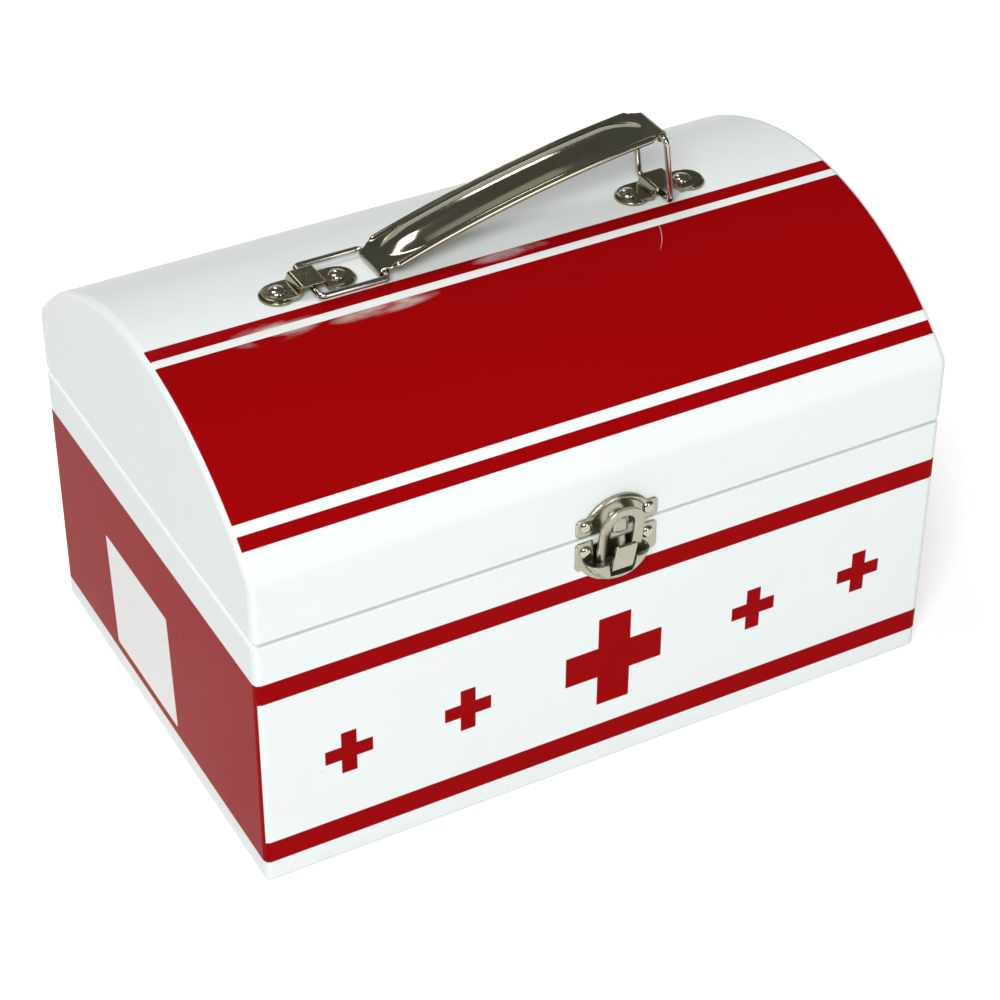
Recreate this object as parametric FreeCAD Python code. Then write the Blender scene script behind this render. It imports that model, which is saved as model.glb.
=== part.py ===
"""Toy doctor's case: a wrapped paperboard box with a vaulted lid, a stamped carry handle and a snap clasp.

Millimetres. X runs along the case, Y from the front to the back, Z up.
The origin is the centre of the underside, on the table.
The lid is shut, the clasp's loop stands just clear of its catch, and the handle has tipped over to the left.
"""
import FreeCAD, Part
import math
import os
from FreeCAD import Vector

os.makedirs("parts", exist_ok=True)

# Case
case_length = 240.0
case_depth = 162.0
base_height = 93.0
lid_wall = 22.6
vault_rise = 36.0
seam_gap = 0.4

# Board and paper
board = 2.0
wrap_paper = 0.3
lining_paper = 0.3
foot_card = 0.5
foot_card_margin = 2.5
corner_radius = 2.0
bottom_radius = 1.2
rim_radius = 0.9
crease_radius = 5.0
turn_in = 12.0
turn_under = 14.0

# Cloth hinge on the back
hinge_cloth = 0.4
hinge_cloth_reach = 15.0
hinge_cloth_margin = 4.0

# Carry handle
bracket_spacing = 123.6
bracket_pad_radius = 5.8
bracket_sheet = 0.8
bracket_pad_height = 1.7
bracket_pad_round = 0.9
bracket_strap_width = 10.2
bracket_rivet_spacing = 20.0
bridge_top = 8.2
bridge_foot = 11.4
rivet_head_radius = 2.9
rivet_head_height = 1.5
rivet_shank = 2.2
rivet_leg = 3.4
rivet_leg_sheet = 0.8
ring_wire = 2.0
ring_width = 21.3
ring_reach = 22.5
ring_bend = 1.8
right_ring_lean = 6.5
right_bar_inset = 1.75
right_bar_drop = 1.05
bar_slide = 1.2
grip_sheet = 0.8
grip_width = 19.4
grip_bow = 2.7
grip_crown = 4.6
grip_crown_width = 16.6
grip_flat_end = 4.0
grip_bead_radius = 1.0
grip_bead_stop = 4.0
curl_open_angle = 80.0

# Clasp, set out from the front of the case where base and lid meet
clasp_sheet = 0.7
clasp_width = 28.2
catch_rise = 0.9
catch_ear_height = 6.4
catch_arch_radius = 12.8
catch_top = 13.2
catch_ridge = 0.9
catch_ridge_stand = 1.7
catch_ridge_span = 104.0
hood_radius = 3.75
hood_foot = 1.0
hood_height = 6.6
plate_drop = 0.9
plate_ear_height = 10.2
plate_ear_width = 5.8
plate_notch = 1.7
plate_depth = 17.8
plate_arc_radius = 14.0
ear_round = 1.3
pocket_rim_drop = 8.8
pocket_radius = 11.8
pocket_margin = 0.8
pocket_stand = 5.0
pocket_round = 4.0
loop_sheet = 1.0
loop_width = 15.3
loop_window = 8.2
loop_top = 10.9
loop_arch = 2.7
loop_window_foot = 8.6
loop_lean = 9.0
pivot_drop = 11.0
pivot_stand = 2.4
pivot_pin_radius = 0.8
pin_recess = 0.8
knuckle_wall = 0.55
knuckle_inset = 2.0
tab_width = 7.2
tab_top_drop = 0.9
tab_stand = 2.1
tab_bend = 1.2
tab_splay = 0.7
tab_corner = 0.9
gate_depth = 2.9
gate_flare = 1.2
nail_spread = 21.6
catch_nail_rise = 4.6
plate_nail_drop = 4.4
nail_head_radius = 2.1
nail_head_height = 1.2
nail_shank = 1.3

# Clearances
hole_clearance = 0.05
running_clearance = 0.08
free_clearance = 0.3

# Small roundings are drawn in chords, and stay under a share of the wall that they are on
paper_chords = 2
metal_chords = 2
crown_chords = 3
hidden_chords = 1
wire_chords = 1
bead_sides = 6
head_sides = 16
round_share = 0.4
least_round = 0.1

# Forms of one piece overlap by this much before they fuse
weld = 0.1

# Sizes that follow
half_length = case_length / 2
half_depth = case_depth / 2
lid_rim = base_height + seam_gap
crease_height = lid_rim + lid_wall
vault_radius = (half_depth ** 2 + vault_rise ** 2) / (2 * vault_rise)
vault_centre = crease_height + vault_rise - vault_radius
apex = crease_height + vault_rise
skin = wrap_paper + board
inner_skin = skin + wrap_paper
corner_limit = 2 * round_share * corner_radius
rim_round = min(rim_radius, round_share * inner_skin, corner_limit)
bottom_round = min(bottom_radius, corner_limit)
board_corner = max(corner_radius - wrap_paper, 2 * least_round)
board_rim = max(rim_round - wrap_paper, least_round)
board_bottom = max(bottom_round - wrap_paper, least_round)
far = 3 * (case_length + case_depth + apex)


def box_between(x0, x1, y0, y1, z0, z1):
    """Block between two limits on each axis."""
    return Part.makeBox(x1 - x0, y1 - y0, z1 - z0, Vector(x0, y0, z0))


def cylinder(radius, start, end):
    """Round bar between two points."""
    along = end - start
    return Part.makeCylinder(radius, along.Length, start, along)


def near(value, target):
    """True where two lengths agree."""
    return abs(value - target) < 1e-4


def fuse_all(shapes):
    """One solid out of touching pieces."""
    whole = shapes[0].fuse(shapes[1:])
    return whole.removeSplitter()


def save(name, shape):
    """Writes one piece, after a test that it is sound."""
    if not shape.isValid():
        raise ValueError(name + " is not a sound solid")
    shape.exportStep("parts/" + name + ".step")
    print(name, len(shape.Solids), "solids", round(shape.Volume, 1), "mm3")


def line(start, end):
    """Straight edge."""
    return Part.LineSegment(start, end).toShape()


def arc(start, middle, end):
    """Round edge through three points."""
    return Part.Arc(start, middle, end).toShape()


def flat_face(points):
    """Flat face inside a closed outline."""
    return Part.Face(Part.makePolygon(points + points[:1]))


def quarter_round(radius, chords):
    """Quarter round in chords, as distances in from the side and back from the edge, side first."""
    if radius == 0:
        return [(0, 0)]
    turns = [math.radians(90 * step / chords) for step in range(chords + 1)]
    return [(radius * (1 - math.cos(turn)), radius * (1 - math.sin(turn))) for turn in turns]


def low_arch(half, rise, chords):
    """Low arch in chords, as distances from the middle and heights, foot first and top last."""
    ball = (half ** 2 + rise ** 2) / (2 * rise)
    swing = 2 * math.atan(rise / half)
    turns = [swing * (1 - step / chords) for step in range(chords + 1)]
    return [(ball * math.sin(turn), rise - ball + ball * math.cos(turn)) for turn in turns]


def turned(profile, angle):
    """Solid turned about Z from a closed profile of distances from the axis and heights."""
    points = [Vector(distance, 0, height) for distance, height in profile]
    return flat_face(points).revolve(Vector(0, 0, 0), Vector(0, 0, 1), angle)


def turned_pan(radius, height, rounding, chords):
    """Round block on the plane z = 0 whose upper edge is rounded in chords."""
    edge = [(radius - side, height - back) for side, back in quarter_round(rounding, chords)]
    return turned([(0, 0), (radius, 0)] + edge + [(0, height)], 360)


def many_sided(radius, height):
    """Corners of a small head at a height, in order round Z."""
    turns = [2 * math.pi * (step + 0.5) / head_sides for step in range(head_sides)]
    return [Vector(radius * math.cos(turn), radius * math.sin(turn), height) for turn in turns]


def domed_head(radius, height):
    """Low domed head on the plane z = 0, with flat facets up to its top."""
    rings = [many_sided(distance, rise) for distance, rise in low_arch(radius, height, metal_chords)[:-1]]
    faces = [flat_face(rings[0])]
    for lower, upper in zip(rings, rings[1:]):
        faces += [flat_face([lower[side - 1], lower[side], upper[side], upper[side - 1]])
                  for side in range(head_sides)]
    top = Vector(0, 0, height)
    faces += [flat_face([rings[-1][side - 1], rings[-1][side], top]) for side in range(head_sides)]
    return Part.Solid(Part.Shell(faces))


# Base: a tray form, cut into five boards, inside a paper wrap that turns over the rim and under the foot.
def rounded_outline(x0, x1, y0, y1, radius, z, chords):
    """Rectangle between two limits on each axis, its corners rounded in chords, as points in order."""
    corner = quarter_round(radius, chords)
    points = [Vector(x1 - side, y1 - back, z) for side, back in corner]
    points += [Vector(x0 + side, y1 - back, z) for side, back in reversed(corner)]
    points += [Vector(x0 + side, y0 + back, z) for side, back in corner]
    points += [Vector(x1 - side, y0 + back, z) for side, back in reversed(corner)]
    return points


def base_outline(inset, corner, z, chords):
    """Outline of the base at a height, drawn in from the outside."""
    reach_x = half_length - inset
    reach_y = half_depth - inset
    points = rounded_outline(-reach_x, reach_x, -reach_y, reach_y, corner, z, chords)
    return Part.makePolygon(points + points[:1])


def base_block(inset, low, high, corner, bottom, rim, chords):
    """Solid base form with round upright corners and rounded lower and upper edges."""
    levels = [(side, low + back) for side, back in reversed(quarter_round(bottom, chords))]
    levels += [(side, high - back) for side, back in quarter_round(rim, chords)]
    outlines = [base_outline(inset + side, corner - side, z, chords) for side, z in levels]
    return Part.makeLoft(outlines, True, True)


wrap_low = foot_card
board_low = foot_card + wrap_paper
floor_height = board_low + board
in_x = half_length - skin
in_y = half_depth - skin
lining_top = base_height - turn_in
room_x = half_length - inner_skin
room_y = half_depth - inner_skin

base_form = base_block(wrap_paper, board_low, base_height - wrap_paper,
                       board_corner, board_bottom, board_rim, hidden_chords)
base_form = base_form.cut(box_between(-in_x, in_x, -in_y, in_y, floor_height, far))
base_bottom = base_form.common(box_between(-in_x, in_x, -in_y, in_y, 0, base_height))
base_left = base_form.common(box_between(-half_length, -in_x, -half_depth, half_depth, 0, base_height))
base_right = base_form.common(box_between(in_x, half_length, -half_depth, half_depth, 0, base_height))
base_front = base_form.common(box_between(-in_x, in_x, -half_depth, -in_y, 0, base_height))
base_back = base_form.common(box_between(-in_x, in_x, in_y, half_depth, 0, base_height))

base_wrap = base_block(0, wrap_low, base_height, corner_radius, bottom_round, rim_round, paper_chords)
base_wrap = base_wrap.cut(box_between(-room_x, room_x, -room_y, room_y, floor_height, far))
base_wrap = base_wrap.cut(base_form)
base_wrap = base_wrap.cut(box_between(-in_x, in_x, -in_y, in_y, board_low, lining_top))
base_wrap = base_wrap.cut(box_between(-half_length + turn_under, half_length - turn_under,
                                      -half_depth + turn_under, half_depth - turn_under, 0, floor_height))

base_lining = box_between(-in_x, in_x, -in_y, in_y, floor_height, lining_top)
base_lining = base_lining.cut(box_between(-in_x + lining_paper, in_x - lining_paper, -in_y + lining_paper,
                                          in_y - lining_paper, floor_height + lining_paper, far))

foot_outline = base_outline(foot_card_margin, corner_radius, 0, paper_chords)
foot = Part.Face(foot_outline).extrude(Vector(0, 0, foot_card))


# Lid: straight walls that bend into a shallow vault between two upright ends.
def bend_at(inset):
    """Radius and centre of the bend between a lid wall and the vault, drawn in from the outside."""
    bend = max(crease_radius - inset, least_round)
    out = half_depth - inset - bend
    up = vault_centre + math.sqrt((vault_radius - inset - bend) ** 2 - out ** 2)
    return bend, out, up


def lid_outline(x, inset, low, foot_round, chords):
    """Outline of the lid across its length, drawn in from the outside: rim, walls, bends and vault."""
    bend, out, up = bend_at(inset)
    wall = half_depth - inset
    radius = vault_radius - inset
    tilt = math.atan2(up - vault_centre, out)

    def half(side):
        """Edges of one side from the rim to the vault, with the points where they start and end."""
        def at(y, z):
            return Vector(x, side * y, z)

        rim = [at(wall - inward, low + back) for inward, back in reversed(quarter_round(foot_round, chords))]
        crease = at(wall, up)
        middle = at(out + bend * math.cos(tilt / 2), up + bend * math.sin(tilt / 2))
        meet = at(radius * math.cos(tilt), vault_centre + radius * math.sin(tilt))
        edges = [line(start, end) for start, end in zip(rim, rim[1:] + [crease])]
        return edges + [arc(crease, middle, meet)], rim[0], meet

    back_edges, back_foot, back_meet = half(1)
    front_edges, front_foot, front_meet = half(-1)
    vault = arc(back_meet, Vector(x, 0, vault_centre + radius), front_meet)
    return Part.Wire([line(front_foot, back_foot)] + back_edges + [vault] + front_edges[::-1])


def lid_block(inset, low, end_round, foot_round, chords):
    """Solid lid form, drawn in from the outside, with rounded ends and a rounded rim."""
    reach = half_length - inset
    ends = quarter_round(end_round, chords)
    stations = [(-reach + back, side) for side, back in reversed(ends)]
    stations += [(reach - back, side) for side, back in ends]
    outlines = [lid_outline(x, inset + side, low + side, foot_round, chords) for x, side in stations]
    return Part.makeLoft(outlines, True, True)


def plain_lid_block(inset, low):
    """Solid lid form with sharp edges."""
    return lid_block(inset, low, 0, 0, hidden_chords)


turn_in_top = lid_rim + turn_in
lid_form = lid_block(wrap_paper, lid_rim + wrap_paper, board_corner, board_rim, hidden_chords)
lid_form = lid_form.cut(plain_lid_block(skin, lid_rim - board))
bend_height = bend_at(wrap_paper)[2]
lid_left_end = lid_form.common(box_between(-half_length, -in_x, -half_depth, half_depth, 0, apex))
lid_right_end = lid_form.common(box_between(in_x, half_length, -half_depth, half_depth, 0, apex))
lid_front = lid_form.common(box_between(-in_x, in_x, -half_depth, 0, 0, bend_height))
lid_back = lid_form.common(box_between(-in_x, in_x, 0, half_depth, 0, bend_height))
lid_vault = lid_form.common(box_between(-in_x, in_x, -half_depth, half_depth, bend_height, apex))

lid_wrap = lid_block(0, lid_rim, corner_radius, rim_round, paper_chords)
lid_wrap = lid_wrap.cut(plain_lid_block(inner_skin, lid_rim - board)).cut(lid_form)
lid_wrap = lid_wrap.cut(plain_lid_block(skin, turn_in_top))
lid_lining = plain_lid_block(skin, turn_in_top).cut(plain_lid_block(skin + lining_paper, turn_in_top - board))

# Cloth hinge: one strip glued over the seam at the back.
hinge_strip = box_between(-half_length + hinge_cloth_margin, half_length - hinge_cloth_margin,
                          half_depth, half_depth + hinge_cloth,
                          base_height - hinge_cloth_reach, lid_rim + hinge_cloth_reach)


# Handle: two saddle brackets hold two wire rings, and the grip's curled ends turn on the rings.
wire_radius = ring_wire / 2
ring_half = (ring_width - ring_wire) / 2
wire_bend = min(ring_bend, round_share * ring_half, round_share * ring_reach)
wire_mitre = wire_radius * math.tan(math.radians(90 / (4 * wire_chords)))
curl_inner = wire_radius + running_clearance
curl_outer = curl_inner + grip_sheet
bar_height = apex + curl_outer + free_clearance
tunnel_top = bar_height - apex + wire_radius + bar_slide - right_bar_drop + running_clearance
bridge_height = tunnel_top + bracket_sheet
left_x = -bracket_spacing / 2
right_x = bracket_spacing / 2


def square_bar(side, place, low, high):
    """Square bar along Z at a place, between two heights."""
    half = side / 2
    return box_between(place.x - half, place.x + half, place.y - half, place.y + half, low, high)


def pierced(shape, side, places, low, high):
    """Shape with a square hole at each place, along Z."""
    for place in places:
        shape = shape.cut(square_bar(side + 2 * hole_clearance, place, low, high))
    return shape


rivet_offsets = [Vector(side * bracket_rivet_spacing / 2, 0, 0) for side in (-1, 1)]
rivet_places = [Vector(x, 0, 0) + offset for x in (left_x, right_x) for offset in rivet_offsets]


def bridge_prism(draw_in, out):
    """Raised middle of a bracket, drawn in by the sheet, that reaches out to each side."""
    foot_half = bridge_foot / 2 - draw_in
    top_half = bridge_top / 2 - draw_in
    height = bridge_height - draw_in
    low = -board
    splay = (foot_half - top_half) / height
    points = [Vector(-foot_half + splay * low, -out, low),
              Vector(foot_half - splay * low, -out, low),
              Vector(top_half, -out, height),
              Vector(-top_half, -out, height)]
    return flat_face(points).extrude(Vector(0, 2 * out, 0))


def saddle_bracket(x):
    """Pressed saddle with two round pads and an open tunnel under its bridge."""
    strap_y = bracket_strap_width / 2
    bridge = bridge_prism(0, strap_y)
    crown = [edge for edge in bridge.Edges
             if near(edge.BoundBox.ZMin, bridge_height) and near(edge.BoundBox.XLength, 0)]
    bridge = bridge.makeFillet(bracket_sheet, crown).common(box_between(-far, far, -far, far, 0, far))
    strap_x = bracket_rivet_spacing / 2
    forms = [bridge, box_between(-strap_x, strap_x, -strap_y, strap_y, 0, bracket_pad_height)]
    for offset in rivet_offsets:
        pad = turned_pan(bracket_pad_radius, bracket_pad_height, bracket_pad_round, hidden_chords)
        pad.translate(offset)
        forms.append(pad)
    bracket = fuse_all(forms).cut(bridge_prism(bracket_sheet, far))
    bracket = pierced(bracket, rivet_shank, rivet_offsets, -board, far)
    bracket.translate(Vector(x, 0, apex))
    return bracket


lining_under = vault_radius - skin - lining_paper
leg_top = vault_centre + math.sqrt(lining_under ** 2 - (rivet_shank / 2) ** 2) - hole_clearance
leg_low = leg_top - rivet_leg_sheet


def rivet(place):
    """Domed split rivet whose two legs are spread flat inside the lid."""
    seat = apex + bracket_pad_height
    head = domed_head(rivet_head_radius, rivet_head_height)
    head.translate(Vector(place.x, place.y, seat))
    shank = square_bar(rivet_shank, place, leg_low, seat + weld)
    half = rivet_shank / 2
    legs = box_between(place.x - half - rivet_leg, place.x + half + rivet_leg,
                       place.y - half, place.y + half, leg_low, leg_top)
    return fuse_all([head, shank, legs])


def wire_ring():
    """Bent wire ring, flat, with one bar on the Y axis and the other at its reach along X."""
    turns = rounded_outline(0, ring_reach, -ring_half, ring_half, wire_bend, 0, wire_chords)
    start = Vector(ring_reach, 0, 0)
    section = Part.Wire(Part.makeCircle(wire_radius, start, Vector(0, 1, 0)))
    return Part.makePolygon([start] + turns + [start]).makePipeShell([section], True, False, 1)


# The left ring lies flat, the right ring stands and leans in, and the grip joins their free bars.
left_bar = Vector(left_x, 0, bar_height)
left_free = left_bar + Vector(ring_reach, 0, 0)
right_bar = Vector(right_x - right_bar_inset, 0, bar_height - right_bar_drop)
lean = math.radians(right_ring_lean)
right_free = right_bar + Vector(-ring_reach * math.sin(lean), 0, ring_reach * math.cos(lean))
grip_length = (right_free - left_free).Length
grip_tilt = math.degrees(math.atan2(right_free.z - left_free.z, right_free.x - left_free.x))

ring_left = wire_ring()
ring_left.translate(left_bar)
ring_right = wire_ring()
ring_right.rotate(Vector(0, 0, 0), Vector(0, -1, 0), 90 + right_ring_lean)
ring_right.translate(right_bar)


def on_bow(angle, y, distance):
    """Point on the grip's bow, at an angle in degrees from its middle and a distance from the bow's axis."""
    turn = math.radians(angle)
    return Vector(distance * math.sin(turn), y, distance * math.cos(turn))


def bowed(profile, swing):
    """Bar along the bow, from a closed profile of places across the grip and distances from its axis."""
    points = [on_bow(-swing, y, distance) for y, distance in profile]
    return flat_face(points).revolve(Vector(0, 0, 0), Vector(0, 1, 0), 2 * swing)


def at_crown_end(shape, end, swing, distance):
    """Puts half of a turned form against an end of the crown."""
    shape.rotate(Vector(0, 0, 0), Vector(0, 0, 1), -90 * end)
    shape.rotate(Vector(0, 0, 0), Vector(0, 1, 0), end * swing)
    shape.translate(on_bow(end * swing, 0, distance))
    return shape


def carry_grip():
    """Stamped grip: bowed strip with a hollow crown, a bead on both edges and an eye curled at each end."""
    half = grip_length / 2
    centre_drop = (half ** 2 - grip_bow ** 2) / (2 * grip_bow)
    bar_circle = centre_drop + grip_bow
    low = bar_circle + curl_inner
    high = bar_circle + curl_outer
    reach = math.degrees(math.asin(half / bar_circle))
    edge = grip_width / 2 - grip_bead_radius

    crown_half = grip_crown_width / 2
    hollow_half = crown_half - grip_sheet
    crown_swing = reach - math.degrees((grip_flat_end + crown_half) / bar_circle)
    foot = [on_bow(-crown_swing, -crown_half, high), on_bow(-crown_swing, -crown_half, low),
            on_bow(-crown_swing, crown_half, low), on_bow(-crown_swing, crown_half, high)]
    crown_edges = [line(start, end) for start, end in zip(foot, foot[1:])]
    crown_edges.append(arc(foot[-1], on_bow(-crown_swing, 0, high + grip_crown), foot[0]))
    crown = Part.Face(Part.Wire(crown_edges)).revolve(Vector(0, 0, 0), Vector(0, 1, 0), 2 * crown_swing)
    pieces = [bowed([(-edge, low), (edge, low), (edge, high), (-edge, high)], reach), crown]

    arch = low_arch(hollow_half, grip_crown, metal_chords)
    hollow_profile = [(-y, low + z) for y, z in arch] + [(y, low + z) for y, z in reversed(arch[:-1])]
    hollow_profile += [(hollow_half, bar_circle), (-hollow_half, bar_circle)]
    hollows = [bowed(hollow_profile, crown_swing)]
    nose_profile = [(0, -grip_sheet), (crown_half, -grip_sheet)]
    nose_profile += low_arch(crown_half, grip_crown, crown_chords)
    for end in (-1, 1):
        pieces.append(at_crown_end(turned(nose_profile, 180), end, crown_swing, high))
        nose_hollow = turned([(0, -curl_inner), (hollow_half, -curl_inner)] + arch, 180)
        hollows.append(at_crown_end(nose_hollow, end, crown_swing, low))

    bead_swing = reach - math.degrees(grip_bead_stop / bar_circle)
    bead_turns = [2 * math.pi * (step + 0.5) / bead_sides for step in range(bead_sides)]
    for side in (-1, 1):
        pieces.append(bowed([(side * edge + grip_bead_radius * math.cos(turn),
                              (low + high) / 2 + grip_bead_radius * math.sin(turn)) for turn in bead_turns],
                            bead_swing))

    eye_half = ring_half - wire_bend - wire_mitre - free_clearance
    bores = []
    for end in (-1, 1):
        bar = on_bow(end * reach, 0, bar_circle)
        across = Vector(0, eye_half, 0)
        eye = cylinder(curl_outer, bar - across, bar + across)
        mouth = Part.makeCylinder(2 * curl_outer, 4 * eye_half, Vector(0, -2 * eye_half, 0),
                                  Vector(0, 1, 0), curl_open_angle)
        mouth.rotate(Vector(0, 0, 0), Vector(0, 1, 0), 180 - curl_open_angle if end > 0 else 0)
        mouth.translate(bar)
        pieces.append(eye.cut(mouth))
        bores.append(cylinder(curl_inner, bar - Vector(0, far, 0), bar + Vector(0, far, 0)))
    grip = fuse_all(pieces).cut(hollows).cut(bores)
    grip.translate(Vector(half, 0, -centre_drop))
    grip.rotate(Vector(0, 0, 0), Vector(0, -1, 0), grip_tilt)
    grip.translate(left_free)
    return grip


# Clasp pieces are drawn flat, X across, Y up the front and Z out of it, then stood on the front of the case.
def stand(shape):
    """Puts a flat-drawn clasp piece on the front, level with the base's rim."""
    shape.rotate(Vector(0, 0, 0), Vector(1, 0, 0), 90)
    shape.translate(Vector(0, -half_depth, base_height))
    return shape


def rounded_plate(x0, x1, y0, y1, thick, radius):
    """Flat plate with rounded corners."""
    plate = box_between(x0, x1, y0, y1, 0, thick)
    return plate.makeFillet(radius, [edge for edge in plate.Edges if near(edge.BoundBox.ZLength, thick)])


def clasp_nail_places(height):
    return [Vector(side * nail_spread / 2, height, 0) for side in (-1, 1)]


out_half = clasp_width / 2
catch_low = seam_gap + catch_rise
arch_centre = catch_top - catch_arch_radius
ridge_centre = catch_arch_radius - catch_ridge
ears = rounded_plate(-out_half, out_half, catch_low, catch_low + catch_ear_height, clasp_sheet, ear_round)
arch = Part.makeCylinder(catch_arch_radius, clasp_sheet, Vector(0, arch_centre, 0))
arch = arch.common(box_between(-far, far, catch_low, far, -far, far))
bump = low_arch(catch_ridge, catch_ridge_stand, metal_chords)
ridge_profile = [(ridge_centre + side, rise) for side, rise in bump]
ridge_profile += [(ridge_centre - side, rise) for side, rise in reversed(bump[:-1])]
ridge = turned(ridge_profile, catch_ridge_span)
ridge.rotate(Vector(0, 0, 0), Vector(0, 0, 1), 90 - catch_ridge_span / 2)
ridge.translate(Vector(0, arch_centre, 0))
hood_low = seam_gap + hood_foot


def hood_form(radius, low, height, chords):
    """Half-round hood with a ball-shaped top."""
    form = turned_pan(radius, height, radius, chords)
    form.rotate(Vector(0, 0, 0), Vector(1, 0, 0), -90)
    form.translate(Vector(0, low, 0))
    return form.common(box_between(-far, far, -far, far, 0, far))


hood = hood_form(hood_radius, hood_low, hood_height, crown_chords)
hood = hood.cut(hood_form(hood_radius - clasp_sheet, hood_low - board, hood_height + board - clasp_sheet,
                          hidden_chords))
latch_catch = fuse_all([ears, arch, ridge, hood])
catch_nails_at = clasp_nail_places(seam_gap + catch_nail_rise)
latch_catch = pierced(latch_catch, nail_shank, catch_nails_at, -board, far)

plate_top = -plate_drop
plate_ear_low = plate_top - plate_ear_height
plate_ears = rounded_plate(-out_half, out_half, plate_ear_low, plate_top, clasp_sheet, ear_round)
notch_half = out_half - plate_ear_width
plate_ears = plate_ears.cut(box_between(-notch_half, notch_half, plate_top - plate_notch, far, -far, far))
plate_arc = Part.makeCylinder(plate_arc_radius, clasp_sheet, Vector(0, plate_arc_radius - plate_depth, 0))
plate_arc = plate_arc.common(box_between(-far, far, -far, plate_top - plate_notch, -far, far))
pocket_centre = -plate_depth + pocket_margin + pocket_radius
pocket_rim = -pocket_rim_drop
pivot = Vector(0, -pivot_drop, pivot_stand)


# A round pan bulges out of the lower plate, and its inside is drawn in by the sheet.
pan_round = min(pocket_round, 2 * round_share * pocket_stand)
inner_round = max(pan_round - clasp_sheet, least_round)
pocket = turned_pan(pocket_radius, pocket_stand, pan_round, crown_chords)
pocket = pocket.cut(turned_pan(pocket_radius - clasp_sheet, pocket_stand - clasp_sheet, inner_round, metal_chords))
pocket.translate(Vector(0, pocket_centre, 0))
pocket = pocket.common(box_between(-far, far, -far, pocket_rim, 0, far))
gate_half = tab_width / 2 + free_clearance
gate_points = [Vector(-gate_half, -pivot_drop - gate_depth, clasp_sheet),
               Vector(gate_half, -pivot_drop - gate_depth, clasp_sheet),
               Vector(gate_half + gate_flare, pocket_rim + weld, clasp_sheet),
               Vector(-gate_half - gate_flare, pocket_rim + weld, clasp_sheet)]
gate = flat_face(gate_points).extrude(Vector(0, 0, far))
pocket = pocket.cut(gate)
latch_plate = fuse_all([plate_ears, plate_arc] + pocket.Solids)
pin_rise = max(pivot_stand - pocket_stand + pan_round, 0)
pin_wall = pocket_radius - pan_round + math.sqrt(pan_round ** 2 - pin_rise ** 2) - pin_recess
pin_half = math.sqrt(pin_wall ** 2 - (pocket_centre + pivot_drop) ** 2)
pin_end = Vector(pin_half, 0, 0)
latch_pin = cylinder(pivot_pin_radius, pivot - pin_end, pivot + pin_end)
pin_seat = cylinder(pivot_pin_radius + hole_clearance / 2, pivot - pin_end, pivot + pin_end)
latch_plate = latch_plate.cut(pin_seat)
plate_nails_at = clasp_nail_places(-plate_nail_drop)
latch_plate = pierced(latch_plate, nail_shank, plate_nails_at, -board, far)

# Loop of the clasp: an arch on two legs, a knuckle round the pin and a thumb tab bent up in front.
knuckle_radius = pivot_pin_radius + running_clearance + knuckle_wall
loop_half = loop_width / 2
window_half = loop_window / 2
loop_back = pivot_stand - knuckle_radius
loop_front = loop_back + loop_sheet


def arched_plate(half, low, top, z0, z1):
    """Upright plate with a half-round top."""
    plate = box_between(-half, half, low, top - half, z0, z1)
    return fuse_all([plate, Part.makeCylinder(half, z1 - z0, Vector(0, top - half, z0))])


loop_form = arched_plate(loop_half, -pivot_drop, loop_top, loop_back, loop_front)
window = arched_plate(window_half, -loop_window_foot, loop_top - loop_arch, 0, far)
loop_form = loop_form.cut(window)
knuckle_half = loop_half - knuckle_inset
knuckle = cylinder(knuckle_radius, pivot - Vector(knuckle_half, 0, 0), pivot + Vector(knuckle_half, 0, 0))


def thumb_tab():
    """Sheet that leaves the knuckle's underside, bends up and stands out in front of the legs."""
    low = -pivot_drop - knuckle_radius
    top = -tab_top_drop
    inner = tab_bend - loop_sheet / 2
    outer = tab_bend + loop_sheet / 2
    bend_y = low + outer
    bend_z = pivot_stand + tab_stand - tab_bend
    diagonal = math.sqrt(0.5)

    def at(y, z):
        return Vector(0, y, z)

    def quarter(radius):
        middle = at(bend_y - radius * diagonal, bend_z + radius * diagonal)
        return arc(at(bend_y - radius, bend_z), middle, at(bend_y, bend_z + radius))

    tip_out = at(top, bend_z + outer + tab_splay)
    tip_in = at(top, bend_z + inner + tab_splay)
    outline = [line(at(low, pivot_stand), at(low, bend_z)),
               quarter(outer),
               line(at(bend_y, bend_z + outer), tip_out),
               line(tip_out, tip_in),
               line(tip_in, at(bend_y, bend_z + inner)),
               quarter(inner),
               line(at(bend_y - inner, bend_z), at(bend_y - inner, pivot_stand)),
               line(at(bend_y - inner, pivot_stand), at(low, pivot_stand))]
    tab = Part.Face(Part.Wire(outline)).extrude(Vector(tab_width, 0, 0))
    tab.translate(Vector(-tab_width / 2, 0, 0))
    corners = [edge for edge in tab.Edges
               if near(edge.BoundBox.YMin, top) and near(edge.BoundBox.XLength, 0)]
    return tab.makeFillet(tab_corner, corners)


latch_loop = fuse_all([loop_form, knuckle, thumb_tab()])
eye_end = Vector(far, 0, 0)
latch_loop = latch_loop.cut(cylinder(pivot_pin_radius + running_clearance, pivot - eye_end, pivot + eye_end))
latch_loop.rotate(pivot, Vector(1, 0, 0), loop_lean)


def clasp_nail(place):
    """Domed nail through the plate and the board behind it."""
    head = domed_head(nail_head_radius, nail_head_height)
    head.translate(Vector(place.x, place.y, clasp_sheet))
    return fuse_all([head, square_bar(nail_shank, place, -skin, clasp_sheet + weld)])


catch_nails = Part.makeCompound([clasp_nail(place) for place in catch_nails_at])
plate_nails = Part.makeCompound([clasp_nail(place) for place in plate_nails_at])
latch_catch = stand(latch_catch)
latch_plate = stand(latch_plate)
latch_loop = stand(latch_loop)
latch_pin = stand(latch_pin)
catch_nails = stand(catch_nails)
plate_nails = stand(plate_nails)


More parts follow.
